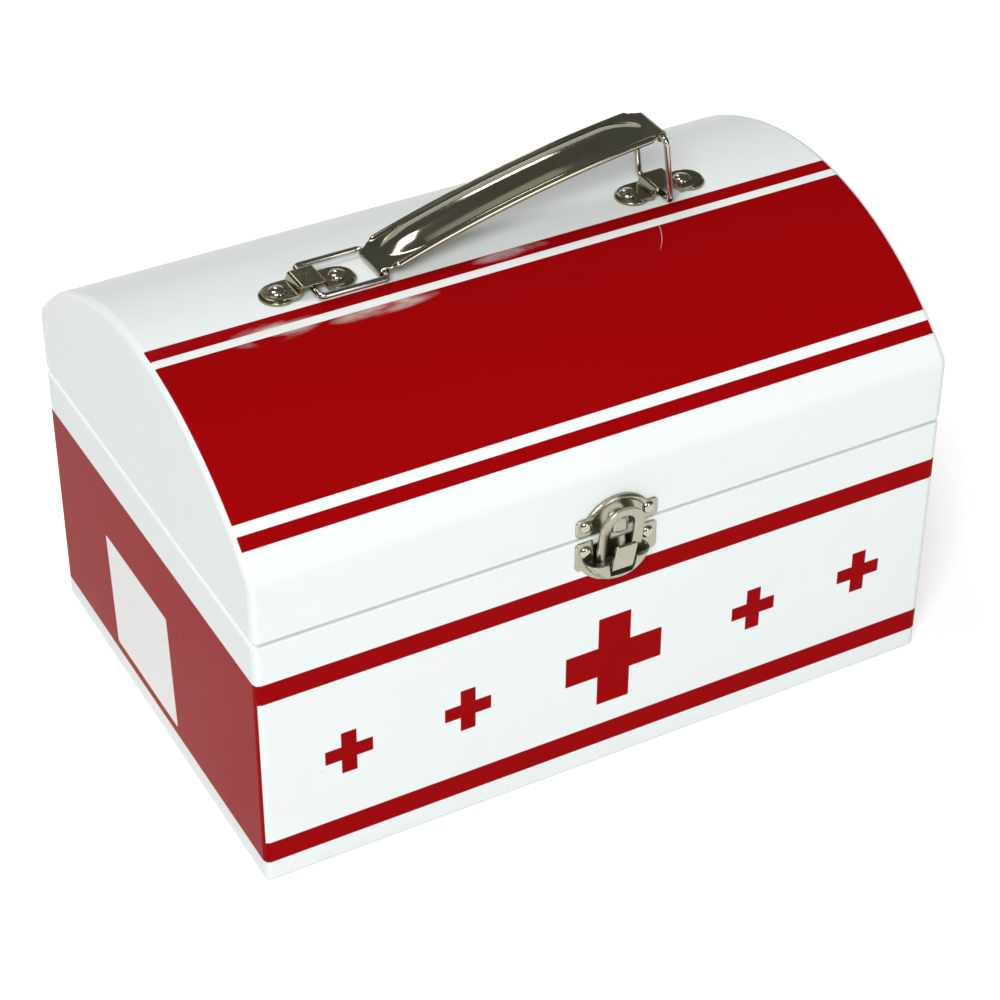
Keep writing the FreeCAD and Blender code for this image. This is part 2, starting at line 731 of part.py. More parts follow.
# Holes for the rivets in the lid's top and for the nails in both fronts.
def pierced_for_nails(shape, places):
    """Front of the case with a square hole behind each nail of a clasp plate."""
    half = nail_shank / 2 + hole_clearance
    for place in places:
        shape = shape.cut(box_between(place.x - half, place.x + half, -half_depth - board, -half_depth + skin,
                                      base_height + place.y - half, base_height + place.y + half))
    return shape


lid_vault = pierced(lid_vault, rivet_shank, rivet_places, crease_height, far)
lid_lining = pierced(lid_lining, rivet_shank, rivet_places, crease_height, far)
lid_wrap = pierced(lid_wrap, rivet_shank, rivet_places, crease_height, far)
lid_wrap = pierced_for_nails(lid_wrap, catch_nails_at)
lid_front = pierced_for_nails(lid_front, catch_nails_at)
base_wrap = pierced_for_nails(base_wrap, plate_nails_at)
base_front = pierced_for_nails(base_front, plate_nails_at)

save("foot_card", foot)
save("base_bottom_board", base_bottom)
save("base_front_board", base_front)
save("base_back_board", base_back)
save("base_left_board", base_left)
save("base_right_board", base_right)
save("base_wrap", base_wrap)
save("base_lining", base_lining)
save("lid_front_board", lid_front)
save("lid_back_board", lid_back)
save("lid_left_end_board", lid_left_end)
save("lid_right_end_board", lid_right_end)
save("lid_vault_board", lid_vault)
save("lid_wrap", lid_wrap)
save("lid_lining", lid_lining)
save("hinge_strip", hinge_strip)
save("handle_brackets", Part.makeCompound([saddle_bracket(left_x), saddle_bracket(right_x)]))
save("handle_rivets", Part.makeCompound([rivet(place) for place in rivet_places]))
save("handle_ring_left", ring_left)
save("handle_ring_right", ring_right)
save("handle_grip", carry_grip())
save("latch_catch", latch_catch)
save("latch_catch_nails", catch_nails)
save("latch_plate", latch_plate)
save("latch_plate_nails", plate_nails)
save("latch_pin", latch_pin)
save("latch_loop", latch_loop)
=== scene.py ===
# %% [markdown]
# # Dressing a toy doctor case
#
# The case is a box of greyboard wrapped in printed, film-coated paper, with nickel-plated fittings pressed
# from thin sheet. Its solids come ready made, so this lesson is mostly about surfaces: ink on paper,
# plating on sheet metal, cloth over a hinge. Everything is in metres, in the frame of the solids: the
# origin is the middle of the underside, +X runs along the front to the right, +Y goes from the clasp to the
# hinge.

# %% Load the solids
import math

import bpy
import numpy as np
from mathutils import Matrix, Vector


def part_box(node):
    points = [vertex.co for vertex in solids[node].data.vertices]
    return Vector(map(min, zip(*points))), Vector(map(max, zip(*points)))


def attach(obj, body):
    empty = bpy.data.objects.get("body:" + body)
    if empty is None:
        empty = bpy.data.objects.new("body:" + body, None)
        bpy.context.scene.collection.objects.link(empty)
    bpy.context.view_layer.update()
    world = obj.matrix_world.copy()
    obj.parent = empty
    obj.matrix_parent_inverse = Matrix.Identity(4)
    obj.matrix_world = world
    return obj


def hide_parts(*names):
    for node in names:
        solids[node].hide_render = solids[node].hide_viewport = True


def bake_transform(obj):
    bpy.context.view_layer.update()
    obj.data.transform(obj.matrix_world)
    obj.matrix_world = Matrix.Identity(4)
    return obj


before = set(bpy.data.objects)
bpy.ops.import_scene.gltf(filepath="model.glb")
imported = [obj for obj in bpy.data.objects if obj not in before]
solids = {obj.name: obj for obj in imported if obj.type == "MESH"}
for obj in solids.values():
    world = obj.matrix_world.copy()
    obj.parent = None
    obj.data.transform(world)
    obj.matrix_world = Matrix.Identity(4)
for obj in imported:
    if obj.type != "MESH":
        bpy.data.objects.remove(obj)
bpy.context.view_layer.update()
mm = 0.001

# %% [markdown]
# ## The camera
#
# A product photographer stands well back with a long lens, so that the box keeps its parallels. The eye,
# the turn and the tilt below were worked out from where the box's own corners fall in the picture, and the
# long lens follows from the same fit. The camera's three axes are written straight into its matrix, because
# that leaves no doubt about the order of the turns.

# %% Set the camera
picture_width = 1000
focal_pixels = 2770.8
sensor_width = 36.0
eye = Vector((-350.9 * mm, -645.6 * mm, 600.2 * mm))
turn, tilt, roll = math.radians(-28.85), math.radians(36.80), math.radians(0.37)


def camera_axes(turn, tilt, roll):
    """Right, up and back of a camera turned about Z, tilted down and rolled about its own line of sight."""
    ahead = Vector((-math.sin(turn) * math.cos(tilt), math.cos(turn) * math.cos(tilt), -math.sin(tilt)))
    level = Vector((math.cos(turn), math.sin(turn), 0))
    right = level * math.cos(roll) + level.cross(ahead) * math.sin(roll)
    return right, right.cross(ahead), -ahead


camera = bpy.data.objects.new("camera", bpy.data.cameras.new("camera"))
bpy.context.scene.collection.objects.link(camera)
camera.data.sensor_width = sensor_width
camera.data.lens = focal_pixels / picture_width * sensor_width
camera.matrix_world = Matrix.Translation(eye) @ Matrix(camera_axes(turn, tilt, roll)).transposed().to_4x4()
camera.data.clip_start = 0.05
camera.data.clip_end = 50
bpy.context.scene.camera = camera
print("lens in mm:", round(camera.data.lens, 2))

# %% [markdown]
# ## Small helpers for node trees
#
# A material is a graph, and building one by hand takes many lines. A few helpers keep the cells short:
# `place` adds a node and feeds its sockets with numbers or with other sockets, `calc` does the same for
# arithmetic, `noise` gives one noise, `blend_colour` mixes two colours and `bumped` turns a height into a
# bent normal. `new_group` starts a node group with named sockets and `use_group` puts it to use, which is
# how one effect can be shared by many finishes.

# %% Node helpers
FLOAT, VECTOR = "NodeSocketFloat", "NodeSocketVector"


def feed(tree, socket, value):
    """Links a socket to a socket, or sets a plain value on it."""
    if isinstance(value, bpy.types.NodeSocket):
        tree.links.new(value, socket)
    else:
        socket.default_value = value


def place(tree, kind, settings=None, **feeds):
    """A new node; feeds are named after its input sockets, with _ for a space."""
    node = tree.nodes.new(kind)
    for name, value in (settings or {}).items():
        setattr(node, name, value)
    for name, value in feeds.items():
        feed(tree, node.inputs[name.replace("_", " ")], value)
    return node


def calc(tree, operation, *values, clamp=False):
    """The result of one Math node."""
    node = place(tree, "ShaderNodeMath", {"operation": operation, "use_clamp": clamp})
    for socket, value in zip(node.inputs, values):
        feed(tree, socket, value)
    return node.outputs[0]


def noise(tree, where, scale, detail, distortion=0.0):
    """Cloudy values round 0.5; the scale counts clouds per metre."""
    return place(tree, "ShaderNodeTexNoise", Vector=where, Scale=scale, Detail=detail,
                 Distortion=distortion).outputs["Fac"]


def either(tree, masks):
    """The largest of several masks."""
    found = masks[0]
    for mask in masks[1:]:
        found = calc(tree, "MAXIMUM", found, mask)
    return found


def blend_colour(tree, share, first, second, way="MIX"):
    """The colour that goes from first to second as share goes from 0 to 1."""
    node = place(tree, "ShaderNodeMix", {"data_type": "RGBA", "blend_type": way})
    for index, value in ((0, share), (6, first), (7, second)):
        feed(tree, node.inputs[index], value)
    return node.outputs[2]


def toned(tree, colour, tone):
    """A colour made lighter or darker by a tone near 1."""
    shade = place(tree, "ShaderNodeCombineColor", Red=tone, Green=tone, Blue=tone).outputs[0]
    return blend_colour(tree, 1.0, colour, shade, "MULTIPLY")


def bumped(tree, shader, height, normal=None):
    """Bends the shader's normal by a height in metres, on top of a normal that is bent already."""
    bump = place(tree, "ShaderNodeBump", Distance=1.0, Height=height)
    if normal is not None:
        feed(tree, bump.inputs["Normal"], normal)
    feed(tree, shader.inputs["Normal"], bump.outputs[0])


def new_group(name, inputs, outputs):
    """A shader node group with named sockets, and its input and output nodes."""
    tree = bpy.data.node_groups.new(name, "ShaderNodeTree")
    for label, kind, value in inputs:
        socket = tree.interface.new_socket(label, in_out="INPUT", socket_type=kind)
        if value is not None:
            socket.default_value = value
    for label, kind in outputs:
        tree.interface.new_socket(label, in_out="OUTPUT", socket_type=kind)
    return tree, tree.nodes.new("NodeGroupInput").outputs, tree.nodes.new("NodeGroupOutput").inputs


def use_group(tree, name, **feeds):
    """An instance of a group made earlier."""
    node = tree.nodes.new("ShaderNodeGroup")
    node.node_tree = bpy.data.node_groups[name]
    for label, value in feeds.items():
        feed(tree, node.inputs[label.replace("_", " ")], value)
    return node.outputs


def new_finish(name):
    """A material with its Principled shader, and the Object coordinates of the piece that wears it."""
    material = bpy.data.materials.new(name)
    material.use_nodes = True
    tree = material.node_tree
    shader = tree.nodes["Principled BSDF"]
    where = tree.nodes.new("ShaderNodeTexCoord").outputs["Object"]
    return material, tree, shader, where


def wear(material, *names):
    """Gives each named solid this one material."""
    for name in names:
        solids[name].data.materials.clear()
        solids[name].data.materials.append(material)
    print(material.name, "on", ", ".join(names))


print("node helpers ready")

# %% [markdown]
# ## Small helpers for meshes
#
# Every new piece below is a grid of points: rows along a path, columns round a section. The columns always
# close into a loop. A ring closes its rows too, and any other piece gets a flat face over each end.
# `gathered` puts several closed tubes into one piece, and `new_piece` says which solid a piece stands for.

# %% Mesh helpers


def grid_faces(rows, columns, looped=False):
    """Quads of a grid of points, row after row. The columns close into a loop, and so do looped rows."""
    row = np.arange(rows if looped else rows - 1)[:, None]
    column = np.arange(columns)[None, :]
    next_row, next_column = (row + 1) % rows, (column + 1) % columns
    corners = [row * columns + column, next_row * columns + column,
               next_row * columns + next_column, row * columns + next_column]
    return np.stack(corners, -1).reshape(-1, 4).tolist()


def closed_faces(rows, columns):
    """Faces of a tube of points, with a flat face over each end."""
    ends = [np.arange(columns).tolist(), np.arange((rows - 1) * columns, rows * columns)[::-1].tolist()]
    return grid_faces(rows, columns) + ends


def gathered(shells):
    """One array of points and one list of faces from several closed tubes of points."""
    starts = np.cumsum([0] + [shell.shape[0] * shell.shape[1] for shell in shells])
    faces = [(np.array(face) + start).tolist() for shell, start in zip(shells, starts)
             for face in closed_faces(*shell.shape[:2])]
    return np.concatenate([shell.reshape(-1, 3) for shell in shells]), faces


def new_piece(name, points, faces, material, stands_for, slot):
    """A smooth mesh in the frame of the solids that stands for one solid and hides it; the slot is not used."""
    mesh = bpy.data.meshes.new(name)
    mesh.from_pydata(points.reshape(-1, 3).tolist(), [], faces)
    mesh.polygons.foreach_set("use_smooth", np.array([len(face) == 4 for face in faces]))
    mesh.materials.append(material)
    piece = bpy.data.objects.new(name, mesh)
    bpy.context.scene.collection.objects.link(piece)
    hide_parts(stands_for)
    print(name, "stands for", stands_for, "with", len(mesh.vertices), "points")
    return piece


print("mesh helpers ready")

# %% [markdown]
# ## Ink: bands, rounded boxes and plus signs
#
# The print is flat colour with crisp edges, so it is drawn from distances and not from pictures. A band is
# the part of a line between two values. A rounded box has a well-known distance formula, and a plus sign is
# two such boxes crossed. Each mask fades over an edge about as wide as ink spreads in paper.

# %% Groups for print
ink_edge = 0.12 * mm

tree, given, result = new_group(
    "printed band",
    [("Place", FLOAT, 0), ("From", FLOAT, 0), ("To", FLOAT, 1), ("Edge", FLOAT, ink_edge)],
    [("Mask", FLOAT)])
inside = calc(tree, "MINIMUM", calc(tree, "SUBTRACT", given["Place"], given["From"]),
              calc(tree, "SUBTRACT", given["To"], given["Place"]))
feed(tree, result["Mask"], calc(tree, "ADD", calc(tree, "DIVIDE", inside, given["Edge"]), 0.5, clamp=True))

tree, given, result = new_group(
    "rounded box distance",
    [("Along", FLOAT, 0), ("Across", FLOAT, 0), ("Half Length", FLOAT, 1), ("Half Width", FLOAT, 1),
     ("Round", FLOAT, 0)],
    [("Distance", FLOAT)])
past = [calc(tree, "SUBTRACT", calc(tree, "ABSOLUTE", given[way]), given[half])
        for way, half in (("Along", "Half Length"), ("Across", "Half Width"))]
over = [calc(tree, "ADD", value, given["Round"]) for value in past]
beyond = [calc(tree, "POWER", calc(tree, "MAXIMUM", value, 0.0), 2.0) for value in over]
outer = calc(tree, "SQRT", calc(tree, "ADD", *beyond))
inner = calc(tree, "MINIMUM", calc(tree, "MAXIMUM", *over), 0.0)
feed(tree, result["Distance"], calc(tree, "SUBTRACT", calc(tree, "ADD", outer, inner), given["Round"]))

tree, given, result = new_group(
    "plus sign",
    [("Along", FLOAT, 0), ("Across", FLOAT, 0), ("Reach", FLOAT, 1), ("Arm", FLOAT, 1), ("Round", FLOAT, 0),
     ("Edge", FLOAT, ink_edge)],
    [("Mask", FLOAT)])
bars = [use_group(tree, "rounded box distance", Along=given["Along"], Across=given["Across"],
                  Half_Length=given[a], Half_Width=given[b], Round=given["Round"])["Distance"]
        for a, b in (("Reach", "Arm"), ("Arm", "Reach"))]
near = calc(tree, "DIVIDE", calc(tree, "MINIMUM", *bars), given["Edge"])
feed(tree, result["Mask"], calc(tree, "SUBTRACT", 0.5, near, clamp=True))


def band(tree, value, low, high, edge=ink_edge):
    """The mask of what lies between two values."""
    return use_group(tree, "printed band", Place=value, From=low, To=high, Edge=edge)["Mask"]


print("print groups:", [group.name for group in bpy.data.node_groups])

# %% [markdown]
# ## Paper glued over board
#
# Paper pasted on greyboard is never quite flat: it follows long swells in the board, and the film over it
# has a fine orange peel that breaks up reflections. A few dark specks of dust lie under the film. The group
# gives a tone to multiply the colour by, a change of gloss, and a height in metres for the bump.

# %% Group for glued paper
swell_scale, peel_scale, cloud_scale, speck_scale = 22.0, 700.0, 60.0, 70.0
speck_rare, speck_size = 0.80, 0.16
cloud_tone, cloud_gloss = 0.05, 0.35

tree, given, result = new_group(
    "glued paper",
    [("Vector", VECTOR, None), ("Swell", FLOAT, 0.04 * mm), ("Peel", FLOAT, 0.002 * mm),
     ("Specks", FLOAT, 0.5)],
    [("Tone", FLOAT), ("Gloss", FLOAT), ("Height", FLOAT)])
swell = noise(tree, given["Vector"], swell_scale, 2.0)
peel = noise(tree, given["Vector"], peel_scale, 2.0)
cloud = calc(tree, "SUBTRACT", noise(tree, given["Vector"], cloud_scale, 5.0), 0.5)
cells = place(tree, "ShaderNodeTexVoronoi", Vector=given["Vector"], Scale=speck_scale)
chosen = place(tree, "ShaderNodeSeparateColor", Color=cells.outputs["Color"]).outputs
size = calc(tree, "MULTIPLY", calc(tree, "SUBTRACT", chosen[0], speck_rare), speck_size)
speck = calc(tree, "GREATER_THAN", size, cells.outputs["Distance"])
tone = calc(tree, "MULTIPLY_ADD", cloud, cloud_tone, 1.0)
tone = calc(tree, "SUBTRACT", tone, calc(tree, "MULTIPLY", speck, given["Specks"]), clamp=True)
feed(tree, result["Tone"], tone)
feed(tree, result["Gloss"], calc(tree, "MULTIPLY", cloud, cloud_gloss))
feed(tree, result["Height"], calc(tree, "ADD", calc(tree, "MULTIPLY", swell, given["Swell"]),
                                  calc(tree, "MULTIPLY", peel, given["Peel"])))
print("glued paper ready")

# %% [markdown]
# ## Rubbed edges and softened corners
#
# Corners of a handled box lose their film, and the corners of pressed metal are never razor sharp.
# Blender's Bevel node looks a short way round each point and returns the normal that a rounded corner would
# have. Where that normal leaves the true one there is an edge, so the same node gives both a softer corner
# and a mask of where hands rub.

# %% Group for edges
bend_gain, patch_gain = 6.0, 8.0

tree, given, result = new_group(
    "rubbed edge",
    [("Vector", VECTOR, None), ("Reach", FLOAT, 0.5 * mm), ("Break", FLOAT, 300.0), ("Keep", FLOAT, 0.5)],
    [("Mask", FLOAT), ("Normal", VECTOR)])
soft = place(tree, "ShaderNodeBevel", {"samples": 6}, Radius=given["Reach"]).outputs["Normal"]
true = place(tree, "ShaderNodeNewGeometry").outputs["True Normal"]
match = place(tree, "ShaderNodeVectorMath", {"operation": "DOT_PRODUCT"})
feed(tree, match.inputs[0], soft)
feed(tree, match.inputs[1], true)
bend = calc(tree, "MULTIPLY", calc(tree, "SUBTRACT", 1.0, match.outputs["Value"]), bend_gain, clamp=True)
patch = calc(tree, "SUBTRACT", noise(tree, given["Vector"], given["Break"], 4.0), given["Keep"])
patch = calc(tree, "MULTIPLY", patch, patch_gain, clamp=True)
feed(tree, result["Mask"], calc(tree, "MULTIPLY", bend, patch))
feed(tree, result["Normal"], soft)
print("rubbed edge ready")

# %% [markdown]
# ## Painted glare and a scratch on the film
#
# Near the ridge the lid's film mirrors a bright window, and that reflection is painted into the print as soft
# pale patches. Each patch is a soft oval on the flat sheet, broken up by noise that is drawn out along the
# sheet. One fine curved scratch is the thin rim of a circle, faded out at both ends. A spot is written as its
# middle along and across the sheet, then its half length and half width.

# %% Group for painted glare and the scratch
# painted reflection: where the pale glare patches lie on the lid's front slope
glare_spots = ((-80 * mm, 15.5 * mm, 16 * mm, 5 * mm), (-45 * mm, 18.6 * mm, 19 * mm, 3 * mm),
               (2 * mm, 10.6 * mm, 14 * mm, 2.4 * mm))
glare_and_scratch_strength = 0.7
streak_drawn, streak_scale, streak_from, streak_gain = (0.35, 1.0, 1.0), 180.0, 0.42, 4.5
scratch_centre, scratch_radius, scratch_width = (30 * mm, 12 * mm), 22 * mm, 0.16 * mm
scratch_spot = (50 * mm, 21 * mm, 6 * mm, 9 * mm)


def oval(tree, along, across, spot):
    """1 in the middle of an oval, falling to 0 at its rim."""
    steps = [calc(tree, "POWER", calc(tree, "DIVIDE", calc(tree, "SUBTRACT", value, middle), half), 2.0)
             for value, middle, half in ((along, spot[0], spot[2]), (across, spot[1], spot[3]))]
    return calc(tree, "SUBTRACT", 1.0, calc(tree, "ADD", *steps), clamp=True)


tree, given, result = new_group(
    "glare_and_scratch", [("Vector", VECTOR, None), ("Along", FLOAT, 0), ("Across", FLOAT, 0)], [("Mask", FLOAT)])
drawn_out = place(tree, "ShaderNodeMapping", Vector=given["Vector"], Scale=streak_drawn).outputs[0]
streaks = calc(tree, "SUBTRACT", noise(tree, drawn_out, streak_scale, 5.0), streak_from)
streaks = calc(tree, "MULTIPLY", streaks, streak_gain, clamp=True)
# painted reflection: the glare patches, broken up into streaks
glare_patches = either(tree, [oval(tree, given["Along"], given["Across"], spot) for spot in glare_spots])
glare_patches = calc(tree, "MULTIPLY", glare_patches, streaks)
away = [calc(tree, "POWER", calc(tree, "SUBTRACT", given[way], middle), 2.0)
        for way, middle in zip(("Along", "Across"), scratch_centre)]
from_centre = calc(tree, "SQRT", calc(tree, "ADD", *away))
off_circle = calc(tree, "ABSOLUTE", calc(tree, "SUBTRACT", from_centre, scratch_radius))
scratch = calc(tree, "SUBTRACT", 1.0, calc(tree, "DIVIDE", off_circle, scratch_width), clamp=True)
scratch = calc(tree, "MULTIPLY", scratch, oval(tree, given["Along"], given["Across"], scratch_spot))
feed(tree, result["Mask"], calc(tree, "MULTIPLY", calc(tree, "MAXIMUM", glare_patches, scratch), glare_and_scratch_strength))
print("scuffs ready")

# %% [markdown]
# ## Film over print
#
# Base and lid wear the same stock: printed paper under a thin clear film. Hands rub the film off along the
# edges, and pale patches of painted reflection lie on the lid. Along the seam of the lid the edges stay crisp,
# and on the front a band of painted shade darkens the seam. The film mirrors little, so that the red keeps its
# depth.

# %% Film
white_paper = (0.84, 0.89, 0.88, 1)
red_ink = (0.315, 0.0018, 0.0030, 1)
worn_and_glare_paper = (0.80, 0.78, 0.74, 1)
film_index, film_gloss = 1.07, 0.24
edge_reach, seam_reach, edge_wear, edge_dull = 0.7 * mm, 0.1 * mm, 0.55, 0.25
seam_height, seam_crisp = 93.0 * mm, 2.0 * mm
# painted shade: how far below and above the seam the dark band reaches, its strength and its colour
seam_shade_below, seam_shade_above, seam_shade_strength = 0.3 * mm, 0.9 * mm, 0.45
seam_shade_colour = (0.25, 0.27, 0.27, 1)
front_from = 80.2 * mm


def film_coated(tree, shader, where, print_colour, glare_and_scratch=0.0):
    """Printed paper under film: rubbed at edges, with painted glare where given, crisp along the seam, with
    painted shade on it in front.
    """
    spot = place(tree, "ShaderNodeSeparateXYZ", Vector=where).outputs
    seam = band(tree, spot[2], seam_height - seam_crisp, seam_height + seam_crisp)
    reach = calc(tree, "MULTIPLY_ADD", seam, seam_reach - edge_reach, edge_reach)
    paper = use_group(tree, "glued paper", Vector=where, Specks=0.35)
    edge = use_group(tree, "rubbed edge", Vector=where, Reach=reach, Break=260.0, Keep=0.62)
    worn = calc(tree, "MULTIPLY", edge["Mask"], edge_wear)
    print_colour = blend_colour(tree, worn, print_colour, worn_and_glare_paper)
    # painted reflection: the pale glare patches, together with the scratch, blend the print towards pale paper
    print_colour = blend_colour(tree, glare_and_scratch, print_colour, worn_and_glare_paper)
    # painted shade: darkens the print in a thin band along the front seam, where the gap lies in shade
    seam_shade = band(tree, spot[2], seam_height - seam_shade_below, seam_height + seam_shade_above, seam_shade_below)
    in_front = calc(tree, "LESS_THAN", spot[1], -front_from)
    seam_shade = calc(tree, "MULTIPLY", calc(tree, "MULTIPLY", seam_shade, in_front), seam_shade_strength)
    print_colour = blend_colour(tree, seam_shade, print_colour, seam_shade_colour)
    feed(tree, shader.inputs["Base Color"], toned(tree, print_colour, paper["Tone"]))
    gloss = calc(tree, "MULTIPLY_ADD", paper["Gloss"], 0.4, film_gloss)
    dull = calc(tree, "MULTIPLY", edge["Mask"], edge_dull)
    feed(tree, shader.inputs["Roughness"], calc(tree, "ADD", gloss, dull))
    bumped(tree, shader, paper["Height"], edge["Normal"])
    shader.inputs["IOR"].default_value = film_index


print("film ready")

# %% [markdown]
# ## Printed paper on the base
#
# The base has a red stripe near its top and one near its foot, running round the front and back, with a row
# of plus signs between them. The two ends are red from stripe to stripe, and the left one carries a blank
# label, stuck on a little askew. The ink sits at fixed heights, so Object coordinates place it: the height
# picks stripes and panel, and how far out a point lies picks front or end.

# %% Finish of the base's paper
stripe_heights = ((8.4 * mm, 16.4 * mm), (71.1 * mm, 78.5 * mm))
plus_height, plus_shift, plus_round = 42.0 * mm, 1.1 * mm, 0.02
plus_signs = ((0.0, 17.3 * mm, 5.8 * mm), (51.6 * mm, 8.0 * mm, 2.6 * mm), (92.0 * mm, 8.0 * mm, 2.6 * mm))
end_from, far_out = 119.4 * mm, 1.0
label_middle, label_tilt = (11.5 * mm, 33.1 * mm), math.radians(3.4)
label_half_length, label_half_height, label_round = 24.6 * mm, 21.3 * mm, 0.8 * mm
label_paper = (0.85, 0.87, 0.85, 1)

base_paper, tree, shader, where = new_finish("base_paper")
spot = place(tree, "ShaderNodeSeparateXYZ", Vector=where).outputs
out_x, out_y = calc(tree, "ABSOLUTE", spot[0]), calc(tree, "ABSOLUTE", spot[1])
stripes = either(tree, [band(tree, spot[2], low, high) for low, high in stripe_heights])
out_sign = calc(tree, "ABSOLUTE", calc(tree, "SUBTRACT", spot[0], plus_shift))
up_sign = calc(tree, "SUBTRACT", spot[2], plus_height)
signs = either(tree, [use_group(tree, "plus sign", Along=calc(tree, "SUBTRACT", out_sign, centre),
                                Across=up_sign, Reach=reach, Arm=arm, Round=plus_round * reach,
                                Edge=ink_edge)["Mask"]
                      for centre, reach, arm in plus_signs])
front = band(tree, out_y, front_from, far_out)
ends = band(tree, out_x, end_from, far_out)
panel = band(tree, spot[2], stripe_heights[0][0], stripe_heights[1][1])
ink = calc(tree, "MAXIMUM", calc(tree, "MULTIPLY", calc(tree, "MAXIMUM", stripes, signs), front),
           calc(tree, "MULTIPLY", panel, ends))
print_colour = blend_colour(tree, ink, white_paper, red_ink)
step_y, step_z = [calc(tree, "SUBTRACT", spot[i + 1], label_middle[i]) for i in (0, 1)]
slant = calc(tree, "MULTIPLY", step_z, math.tan(label_tilt))
distance = use_group(tree, "rounded box distance", Along=calc(tree, "SUBTRACT", step_y, slant), Across=step_z,
                     Half_Length=label_half_length, Half_Width=label_half_height, Round=label_round)["Distance"]
label = calc(tree, "SUBTRACT", 0.5, calc(tree, "DIVIDE", distance, ink_edge), clamp=True)
left_end = calc(tree, "LESS_THAN", spot[0], -end_from)
print_colour = blend_colour(tree, calc(tree, "MULTIPLY", label, left_end), print_colour, label_paper)
film_coated(tree, shader, where, print_colour)
wear(base_paper, "base_wrap")

# %% [markdown]
# ## Printed paper on the lid
#
# On the lid the ink follows the vault: each edge of a stripe stays at one distance from the ridge, measured
# along the bent board. That distance is the vault's radius times the angle round its axis, so one
# arctangent turns a point into its place on the flat sheet. Only the slope above the clasp is printed; the
# one behind stays white, and so does the paper that is turned in round the rim, which lies well inside the
# vault's radius.

# %% Finish of the lid's paper
vault_radius, vault_axis, paper_depth = 109.125 * mm, 42.875 * mm, 1.0 * mm
lid_bands = ((8.6 * mm, 13.8 * mm), (17.0 * mm, 73.6 * mm), (77.1 * mm, 81.7 * mm))
lid_margin = 118.6 * mm

lid_paper, tree, shader, where = new_finish("lid_paper")
spot = place(tree, "ShaderNodeSeparateXYZ", Vector=where).outputs
above_axis = calc(tree, "SUBTRACT", spot[2], vault_axis)
on_sheet = calc(tree, "MULTIPLY", calc(tree, "ARCTAN2", spot[1], above_axis), -vault_radius)
squares = [calc(tree, "POWER", value, 2.0) for value in (spot[1], above_axis)]
from_axis = calc(tree, "SQRT", calc(tree, "ADD", *squares))
outside = calc(tree, "GREATER_THAN", from_axis, vault_radius - paper_depth)
bands = either(tree, [band(tree, on_sheet, low, high) for low, high in lid_bands])
across = band(tree, spot[0], -lid_margin, lid_margin)
ink = calc(tree, "MULTIPLY", calc(tree, "MULTIPLY", bands, across), outside)
print_colour = blend_colour(tree, ink, white_paper, red_ink)
glare_and_scratch = use_group(tree, "glare_and_scratch", Vector=where, Along=spot[0], Across=on_sheet)["Mask"]
film_coated(tree, shader, where, print_colour, glare_and_scratch)
wear(lid_paper, "lid_wrap")

# %% [markdown]
# ## Lining, board and foot card
#
# The inside is lined with plain uncoated paper, warm and matt, whose fibres show as a fine tangle. The
# boards under the papers are grey, pressed from waste paper, with darker flecks. They hardly show, but a
# closed finish costs little and holds when the case is taken apart.

# %% Finishes of plain paper and board
fibre_share, fibre_rise, fibre_twist = 0.35, 0.03 * mm, 1.5
fleck_finer, fleck_from = 3, 0.62


def uncoated(name, pale, dark, grain, fleck):
    """A matt paper or board: fibres from twisted noise, flecks from finer noise."""
    material, tree, shader, where = new_finish(name)
    fibre = noise(tree, where, grain, 6.0, fibre_twist)
    flecks = calc(tree, "SUBTRACT", noise(tree, where, grain * fleck_finer, 3.0), fleck_from)
    flecks = calc(tree, "MULTIPLY", flecks, fleck, clamp=True)
    share = calc(tree, "ADD", calc(tree, "MULTIPLY", fibre, fibre_share), flecks, clamp=True)
    feed(tree, shader.inputs["Base Color"], blend_colour(tree, share, pale, dark))
    feed(tree, shader.inputs["Roughness"], calc(tree, "MULTIPLY_ADD", fibre, 0.2, 0.7))
    bumped(tree, shader, calc(tree, "MULTIPLY", fibre, fibre_rise))
    return material


wear(uncoated("lining_paper", (0.80, 0.79, 0.74, 1), (0.66, 0.63, 0.56, 1), 400.0, 1.5),
     "base_lining", "lid_lining")
wear(uncoated("greyboard", (0.42, 0.39, 0.34, 1), (0.24, 0.22, 0.19, 1), 500.0, 4.0),
     *[name for name in solids if name.endswith("_board")])
wear(uncoated("foot_card", (0.76, 0.76, 0.73, 1), (0.60, 0.59, 0.55, 1), 450.0, 2.0), "foot_card")

# %% [markdown]
# ## Nickel-plated fittings
#
# The brackets, rivets and clasp are stamped sheet with a thin coat of nickel: warm, a little dull, with
# fine tool marks and the greasy bloom of fingers. The brackets are darker and browner than the clasp. The
# grip is polished brighter before plating. One group gives the bloom and the marks, and each finish sets
# its own colour, gloss and corners, which hands keep bright.

# %% Finishes of metal
bloom_tone, bloom_gloss, marks_gloss = 0.25, 0.25, 0.15
corner_bright, corner_share = 1.8, 0.8
fine_marks, tool_marks, pin_marks = 0.0001 * mm, 0.0002 * mm, 0.0004 * mm

tree, given, result = new_group(
    "plating",
    [("Vector", VECTOR, None), ("Bloom", FLOAT, 90.0), ("Marks", FLOAT, 1500.0), ("Depth", FLOAT, 0.001 * mm)],
    [("Tone", FLOAT), ("Gloss", FLOAT), ("Height", FLOAT)])
bloom = calc(tree, "SUBTRACT", noise(tree, given["Vector"], given["Bloom"], 4.0), 0.5)
marks = noise(tree, given["Vector"], given["Marks"], 3.0)
feed(tree, result["Tone"], calc(tree, "MULTIPLY_ADD", bloom, bloom_tone, 1.0))
feed(tree, result["Gloss"], calc(tree, "ADD", calc(tree, "MULTIPLY", bloom, bloom_gloss),
                                 calc(tree, "MULTIPLY", calc(tree, "SUBTRACT", marks, 0.5), marks_gloss)))
feed(tree, result["Height"], calc(tree, "MULTIPLY", marks, given["Depth"]))


